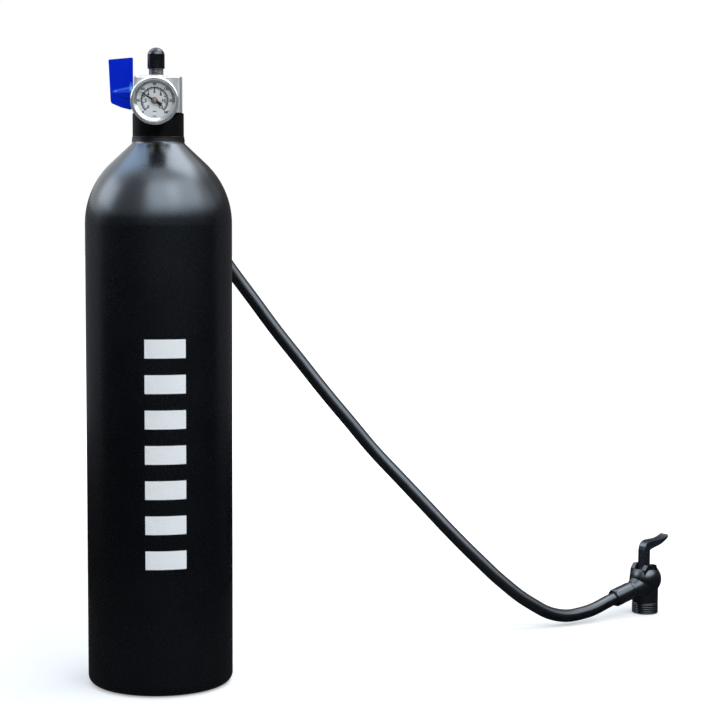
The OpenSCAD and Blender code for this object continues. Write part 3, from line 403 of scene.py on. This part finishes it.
def add_mesh(name, verts, faces, body, looks, slot, smooth=True, picks=None):
    """A mesh piece in metres that rides on a body; picks gives a face's material by its number."""
    mesh = bpy.data.meshes.new(name)
    mesh.from_pydata([tuple(v) for v in verts], [], faces)
    for look in looks:
        mesh.materials.append(MATERIALS[look])
    for polygon in mesh.polygons:
        polygon.use_smooth = smooth
        polygon.material_index = picks[polygon.index] if picks else 0
    mesh.validate()
    mesh.update()
    if smooth:
        mesh.set_sharp_from_angle(angle=SHARP_FROM)
    piece = bpy.data.objects.new(name, mesh)
    bpy.context.collection.objects.link(piece)
    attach(piece, body)
    return piece


class Print:
    """Flat print just in front of the dial, drawn in millimetres from the gauge's centre."""

    LIFT = 0.03
    # The scale: where it starts and how far it sweeps, in degrees, and the share from which it is red
    START = 225
    SWEEP = 270
    RED_FROM = 0.68
    ARC_R = 7.0
    ARC_HALF_W = 0.26
    ARC_STEPS = 72
    # Ticks, with length and width
    TICKS = 40
    MAJOR_EVERY = 5
    MAJOR = (1.6, 0.55)
    MINOR = (1.0, 0.36)
    OUTER = (0.6, 0.34)
    # Two rings of numbers, and how much bolder than the plain font they are, as a share of their height
    NUMBERS = 7
    INNER_STEP, INNER_R, INNER_H = 2, 4.7, 2.3
    OUTER_STEP, OUTER_R, OUTER_H = 30, 8.7, 1.9
    BOLDER = 0.045
    # Plain bars where words would be
    BAR_HALF_W = 0.95
    BAR_H = 0.5
    BAR_DROPS = (5.4, 7.9)

    def __init__(self):
        self.verts, self.faces, self.inks = [], [], []

    def place(self, x, z):
        """A point of the dial's face, in metres."""
        return (GAUGE_X + x * MM, DIAL_FACE - self.LIFT * MM, GAUGE_Z + z * MM)

    def angle(self, share):
        """The angle at a share of the scale, from 0 at its start to 1 at its end."""
        return radians(self.START - self.SWEEP * share)

    def quad(self, corners, ink):
        """A face with four corners, in black or red ink."""
        first = len(self.verts)
        self.verts += [self.place(*corner) for corner in corners]
        self.faces.append(tuple(range(first, first + 4)))
        self.inks.append(ink)

    def arc(self, share_a, share_b, inner, outer, ink, steps):
        """A band of the scale between two shares and two radii."""
        for i in range(steps):
            a = self.angle(share_a + (share_b - share_a) * i / steps)
            b = self.angle(share_a + (share_b - share_a) * (i + 1) / steps)
            self.quad([(inner * cos(a), inner * sin(a)), (inner * cos(b), inner * sin(b)),
                       (outer * cos(b), outer * sin(b)), (outer * cos(a), outer * sin(a))], ink)

    def tick(self, share, inner, outer, width, ink):
        """A straight line across the scale, between two radii."""
        a = self.angle(share)
        along, side = (cos(a), sin(a)), (-sin(a) * width / 2, cos(a) * width / 2)
        corners = ((inner, -1), (inner, 1), (outer, 1), (outer, -1))
        self.quad([(r * along[0] + s * side[0], r * along[1] + s * side[1]) for r, s in corners], ink)

    def number(self, text, share, radius, height, ink):
        """A plain number in Blender's own font, turned into flat faces."""
        curve = bpy.data.curves.new("number", "FONT")
        curve.body = text
        curve.size = height
        curve.align_x = curve.align_y = "CENTER"
        curve.offset = self.BOLDER * height
        curve.resolution_u = 2
        holder = bpy.data.objects.new("number", curve)
        bpy.context.collection.objects.link(holder)
        bpy.context.view_layer.update()
        mesh = bpy.data.meshes.new_from_object(holder)
        x, z = radius * cos(self.angle(share)), radius * sin(self.angle(share))
        first = len(self.verts)
        self.verts += [self.place(v.co.x + x, v.co.y + z) for v in mesh.vertices]
        for polygon in mesh.polygons:
            self.faces.append(tuple(first + k for k in polygon.vertices))
            self.inks.append(ink)
        bpy.data.objects.remove(holder)
        bpy.data.curves.remove(curve)
        bpy.data.meshes.remove(mesh)

    def build(self):
        """The whole print: a scale with a red end, its ticks and numbers, and two plain bars."""
        black, red = 0, 1
        inner, outer = self.ARC_R - self.ARC_HALF_W, self.ARC_R + self.ARC_HALF_W
        self.arc(0, self.RED_FROM, inner, outer, black, self.ARC_STEPS * 2 // 3)
        self.arc(self.RED_FROM, 1, inner, outer, red, self.ARC_STEPS // 3)
        for i in range(self.TICKS + 1):
            share = i / self.TICKS
            ink = red if share > self.RED_FROM else black
            length, width = self.MINOR if i % self.MAJOR_EVERY else self.MAJOR
            self.tick(share, self.ARC_R - length, self.ARC_R, width, ink)
            if i % 2 == 0:
                length, width = self.OUTER
                self.tick(share, self.ARC_R, self.ARC_R + length, width, ink)
        for k in range(self.NUMBERS):
            share = k / (self.NUMBERS - 1)
            self.number(str(self.INNER_STEP * k), share, self.INNER_R, self.INNER_H, black)
            self.number(str(self.OUTER_STEP * k), share, self.OUTER_R, self.OUTER_H, black)
        w = self.BAR_HALF_W
        for drop in self.BAR_DROPS:
            self.quad([(-w, -drop), (w, -drop), (w, -drop - self.BAR_H), (-w, -drop - self.BAR_H)], black)
        add_mesh("dial_print", self.verts, self.faces, "tank", ["print_black", "print_red"],
                 "black_paint", smooth=False, picks=self.inks)


def lathe(profile, place, steps):
    """A turned shape from a closed outline of (radius, height), each point set by place(x, y, height)."""
    verts, faces = [], []
    rows = len(profile)
    for i in range(steps):
        a = 2 * pi * i / steps
        verts += [place(r * cos(a), r * sin(a), h) for r, h in profile]
        here, there = i * rows, (i + 1) % steps * rows
        for k in range(rows):
            m = (k + 1) % rows
            faces.append((here + k, there + k, there + m, here + m))
    return verts, faces


# A turned shape closes just off its axis, so that no face there has no area
AXIS = 0.001
BOSS_OUTLINE = [(AXIS, 0.0), (1.32, 0.0), (1.36, 0.12), (1.28, 0.26), (1.05, 0.36), (0.6, 0.42),
                (0.25, 0.42), (0.2, 0.36), (AXIS, 0.36)]
COLLAR_FOOT_OUTLINE = [(13.6, 1.1), (13.98, 1.1), (14.1, 0.98), (14.22, -0.1), (14.36, -1.0),
                       (14.48, -1.6), (14.12, -1.75), (13.6, -1.75)]
HANDLE_TIP_OUTLINE = [(AXIS, 7.8), (2.6, 7.8), (2.45, 9.4), (2.28, 10.5), (2.05, 11.2), (1.6, 11.8),
                      (AXIS, 11.9)]


def add_boss():
    """Domed bronze boss on the pointer's hub."""
    front = low("gauge_pointer", 1)

    def place(x, y, h):
        return GAUGE_X + x * MM, front - h * MM, GAUGE_Z + y * MM

    add_mesh("pointer_boss", *lathe(BOSS_OUTLINE, place, 40), "pointer", ["boss_bronze"], "brass")


def add_dial_ring():
    """Sloping chrome ring that holds the dial down, in place of the plain solid."""
    back, front = high("gauge_dial_ring", 1), low("gauge_dial_ring", 1)
    outer = (high("gauge_dial_ring", 0) - low("gauge_dial_ring", 0)) / 2 / MM
    depth = (back - front) / MM
    outline = [(outer, 0.0), (outer, depth), (outer - 0.2, depth), (outer - 0.3, 0.95),
               (outer - 0.4, 0.85), (outer - 1.8, 0.12), (outer - 1.86, 0.0)]

    def place(x, y, h):
        return GAUGE_X + x * MM, back - h * MM, GAUGE_Z + y * MM

    ring = add_mesh("dial_ring", *lathe(outline, place, 96), "tank", ["chrome"], "chrome")
    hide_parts("gauge_dial_ring")


def add_collar_foot():
    """Black foot ring of the collar, which covers the top of the bottle's neck."""
    def place(x, y, h):
        return x * MM, y * MM, NECK_TOP + h * MM

    shape = lathe(COLLAR_FOOT_OUTLINE, place, 160)
    add_mesh("collar_foot", *shape, "tank", ["black_anodised"], "black_anodised")


def add_handle_tip():
    """Rounded end of the handle's hub, which closes over the end of the stem."""
    foot, axis_y = high("valve_handle", 0), middle("valve_handle", 1)

    def place(x, y, h):
        return foot - h * MM, axis_y + x * MM, VALVE_Z + y * MM

    shape = lathe(HANDLE_TIP_OUTLINE, place, 48)
    add_mesh("handle_tip", *shape, "handle", ["blue_plastic"], "blue_plastic")


# The filling valve's thread, which runs out at both ends: over the end's slope, its crest drops
THREAD_DEPTH = 0.32 * MM
THREAD_PITCH = 0.8 * MM
THREAD_FLAT = 0.85
THREAD_STEPS = 72
ROWS_A_TURN = 8
END_SLOPE = 0.6 * MM
END_DROP = 0.5 * MM
STEM_BORE = 2.66 * MM
STEM_SEAT_BORE = 2.0 * MM
STEM_SEAT_DEPTH = 9.8 * MM


def add_thread():
    """The filling valve's stem with its thread, in place of the plain solid."""
    foot, top = low("fill_valve_stem", 2), high("fill_valve_stem", 2)
    cx, cy = middle("fill_valve_stem", 0), middle("fill_valve_stem", 1)
    crest = (high("fill_valve_stem", 0) - low("fill_valve_stem", 0)) / 2
    seat_z = top - STEM_SEAT_DEPTH
    bore = [(STEM_BORE, top), (STEM_BORE, seat_z), (STEM_SEAT_BORE, seat_z), (STEM_SEAT_BORE, foot)]
    rows = int((top - foot) / THREAD_PITCH * ROWS_A_TURN)
    verts, faces = [], []
    for i in range(THREAD_STEPS):
        ring = []
        for k in range(rows + 1):
            z = foot + (top - foot) * k / rows
            phase = (z / THREAD_PITCH - i / THREAD_STEPS) % 1
            cut = min(abs(phase - 0.5) * 2, THREAD_FLAT) / THREAD_FLAT
            near_end = min(1.0, (top - z) / END_SLOPE, (z - foot) / END_SLOPE)
            ring.append((crest - END_DROP * (1 - near_end) - THREAD_DEPTH * (1 - cut), z))
        a = 2 * pi * i / THREAD_STEPS
        verts += [(cx + r * cos(a), cy + r * sin(a), z) for r, z in ring + bore]
        count = len(ring + bore)
        here, there = i * count, (i + 1) % THREAD_STEPS * count
        for k in range(count):
            m = (k + 1) % count
            faces.append((here + k, there + k, there + m, here + m))
    piece = add_mesh("fill_valve_thread", verts, faces, "tank", ["stem_steel"], "steel")
    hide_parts("fill_valve_stem")


def add_core_spring():
    """The filling valve's spring, as a copy of its mesh that rides on the tank."""
    spring = bpy.data.objects.new("core_spring", NODES["fill_core_spring"].data.copy())
    bpy.context.collection.objects.link(spring)
    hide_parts("fill_core_spring")
    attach(spring, "tank")
    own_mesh(spring)


Print().build()
add_boss()
add_dial_ring()
add_collar_foot()
add_handle_tip()
add_thread()
add_core_spring()


# Floor, backdrop light and lamps
def seen_directly(n):
    """1 for rays that show a surface: straight to the camera, mirrored or through glass."""
    path = n.add("ShaderNodeLightPath")
    seen = n.math("MAXIMUM", path.outputs["Is Camera Ray"], path.outputs["Is Glossy Ray"])
    return n.math("MAXIMUM", seen, path.outputs["Is Transmission Ray"])


FLOOR_HALF = 6.0
FLOOR_DROP = 0.2 * MM
FLOOR_GREY = (0.8, 0.8, 0.8, 1)
FLOOR_GLOW = 0.35
GLOW_NEAR = 0.35
GLOW_FAR = 0.9
WHITE = (1, 1, 1, 1)


def add_floor():
    """A pale floor that takes the shadow near the tank and fades to white further out."""
    f = FLOOR_HALF
    mesh = bpy.data.meshes.new("floor")
    mesh.from_pydata([(-f, -f, 0), (f, -f, 0), (f, f, 0), (-f, f, 0)], [], [(0, 1, 2, 3)])
    floor = bpy.data.objects.new("floor", mesh)
    floor.location.z = -FLOOR_DROP
    bpy.context.collection.objects.link(floor)
    material = bpy.data.materials.new("floor_white")
    material.use_nodes = True
    n = Nodes(material.node_tree)
    place = n.add("ShaderNodeNewGeometry").outputs["Position"]
    spread = n.add("ShaderNodeVectorMath", {0: place}, operation="LENGTH").outputs["Value"]
    fade = n.ramp(spread, GLOW_NEAR, GLOW_FAR, FLOOR_GLOW, 1.0)
    n.surface(n.add("ShaderNodeBsdfPrincipled", {
        "Base Color": FLOOR_GREY, "Roughness": 0.9, "Specular IOR Level": 0,
        "Emission Color": WHITE, "Emission Strength": n.math("MULTIPLY", fade, seen_directly(n)),
    }))
    mesh.materials.append(material)


WORLD_LIGHT = 0.2
WORLD_COLOUR = (0.92, 0.96, 1, 1)


def add_world():
    """White where it is seen, and a dim cool light on what is lit by it."""
    world = bpy.data.worlds.new("world")
    bpy.context.scene.world = world
    world.use_nodes = True
    n = Nodes(world.node_tree)
    light = n.add("ShaderNodeBackground", {"Color": WORLD_COLOUR, "Strength": WORLD_LIGHT})
    shown = n.add("ShaderNodeBackground", {"Color": WHITE, "Strength": 1.0})
    blend = n.add("ShaderNodeMixShader", {0: seen_directly(n)})
    n.tree.links.new(light.outputs[0], blend.inputs[1])
    n.tree.links.new(shown.outputs[0], blend.inputs[2])
    n.surface(blend, "ShaderNodeOutputWorld")


# Black and grey cards, as a photographer stands them round a glossy object. Neither the camera nor
# diffuse light meets them. They stand on a sphere round the head of the tank, with rings on the floor.
HEAD_Z = 0.27
CARD_R = 1.15
CARD_STEP = 6
CARD_LIFT = 0.4 * MM
FLOOR_CARD_STEPS = 48
CARDS = [
    # azimuth from and to, elevation from and to, brightness
    (-20, 100, -14, 14, 0.006),
    (-100, -20, -14, 11, 0.006),
    (-180, -100, -14, 7, 0.14),
    (100, 180, -14, 14, 0.09),
    (-78, -26, 11, 60, 0.4),
    (105, 132, 14, 38, 0.4),
    (132, 176, 14, 30, 0.16),
    (-30, 30, 68, 80, 1.6),
]
FLOOR_CARDS = [
    # radius from and to, brightness
    (0.0, 0.26, 0.03),
    (0.26, 0.45, 0.01),
    (0.45, 1.15, 0.004),
]


def parts(start, end, count):
    """The pieces of a span cut into equal parts, each as its start and end."""
    return [[start + (end - start) * (i + d) / count for d in (0, 1)] for i in range(count)]


def add_cards():
    """All cards as one mesh, with a glow for each brightness."""
    verts, faces, levels = [], [], []

    def quad(corners, level):
        faces.append(tuple(range(len(verts), len(verts) + 4)))
        verts.extend(corners)
        levels.append(level)

    def on_sphere(azimuth, elevation):
        az, el = radians(azimuth), radians(elevation)
        height = max(HEAD_Z + CARD_R * sin(el), CARD_LIFT)
        return (CARD_R * sin(az) * cos(el), -CARD_R * cos(az) * cos(el), height)

    for az_a, az_b, el_a, el_b, level in CARDS:
        across, up = [max(round(span / CARD_STEP), 1) for span in (az_b - az_a, el_b - el_a)]
        for a, b in parts(az_a, az_b, across):
            for c, d in parts(el_a, el_b, up):
                quad([on_sphere(a, c), on_sphere(b, c), on_sphere(b, d), on_sphere(a, d)], level)
    for inner, outer, level in FLOOR_CARDS:
        for a, b in parts(0, 2 * pi, FLOOR_CARD_STEPS):
            corners = ((inner, a), (outer, a), (outer, b), (inner, b))
            quad([(r * sin(t), r * cos(t), CARD_LIFT) for r, t in corners], level)
    mesh = bpy.data.meshes.new("cards")
    mesh.from_pydata(verts, [], faces)
    slots = sorted(set(levels))
    for level in slots:
        material = bpy.data.materials.new("card")
        material.use_nodes = True
        n = Nodes(material.node_tree)
        n.surface(n.add("ShaderNodeEmission", {"Color": (level, level, level, 1), "Strength": 1.0}))
        mesh.materials.append(material)
    for polygon, level in zip(mesh.polygons, levels):
        polygon.material_index = slots.index(level)
    cards = bpy.data.objects.new("cards", mesh)
    bpy.context.collection.objects.link(cards)
    cards.visible_camera = False
    cards.visible_diffuse = False
    cards.visible_shadow = False


# A softbox is made this much larger, because its light fades over its outer quarters
SOFT_EDGE = 1.33
FADE_FROM = 0.25


def fade_to_edges(tree):
    """Light that fades over the outer quarter of a softbox, so that its reflection has no hard edge."""
    n = Nodes(tree)
    place = n.add("ShaderNodeNewGeometry").outputs["Parametric"]
    sides = n.add("ShaderNodeSeparateXYZ", {"Vector": place}).outputs
    across, up = [n.ramp(n.math("ABSOLUTE", n.math("SUBTRACT", side, 0.5)), 0.5, FADE_FROM, 0.0, 1.0)
                  for side in (sides[0], sides[1])]
    glow = n.add("ShaderNodeEmission", {"Strength": n.math("MULTIPLY", across, up)})
    n.surface(glow, "ShaderNodeOutputLight")


LAMP_DISTANCE = 1.6


def add_lamp(name, azimuth, elevation, width, height, radiance, colour):
    """A softbox that faces the head of the tank. Azimuth 0 is at the camera and 90 to its right."""
    target = Vector((0, 0, HEAD_Z))
    az, el = radians(azimuth), radians(elevation)
    toward = Vector((sin(az) * cos(el), -cos(az) * cos(el), sin(el)))
    data = bpy.data.lights.new(name, "AREA")
    data.shape = "RECTANGLE"
    data.size = width * SOFT_EDGE
    data.size_y = height * SOFT_EDGE
    data.energy = radiance * pi * data.size * data.size_y
    data.color = colour
    data.use_nodes = True
    fade_to_edges(data.node_tree)
    lamp = bpy.data.objects.new(name, data)
    lamp.location = target + toward * LAMP_DISTANCE
    lamp.rotation_euler = toward.to_track_quat("Z", "Y").to_euler()
    lamp.visible_camera = False
    bpy.context.collection.objects.link(lamp)


COOL_WHITE = (0.93, 0.97, 1)
SKY_BLUE = (0.45, 0.68, 1)
LAMPS = [
    # name, azimuth, elevation, width, height, radiance, colour
    ("key_front", 8, 42, 1.3, 1.25, 2.5, COOL_WHITE),
    ("key_side", 55, 40, 1.4, 1.1, 2.2, COOL_WHITE),
    ("back_right", 118, 64, 0.9, 0.9, 4.2, COOL_WHITE),
    ("back_left", -128, 58, 0.9, 0.9, 2.3, SKY_BLUE),
    ("left", -104, 28, 0.95, 0.72, 2.8, COOL_WHITE),
]
add_floor()
add_world()
add_cards()
for lamp in LAMPS:
    add_lamp(*lamp)


bpy.context.scene.view_settings.view_transform = "Standard"
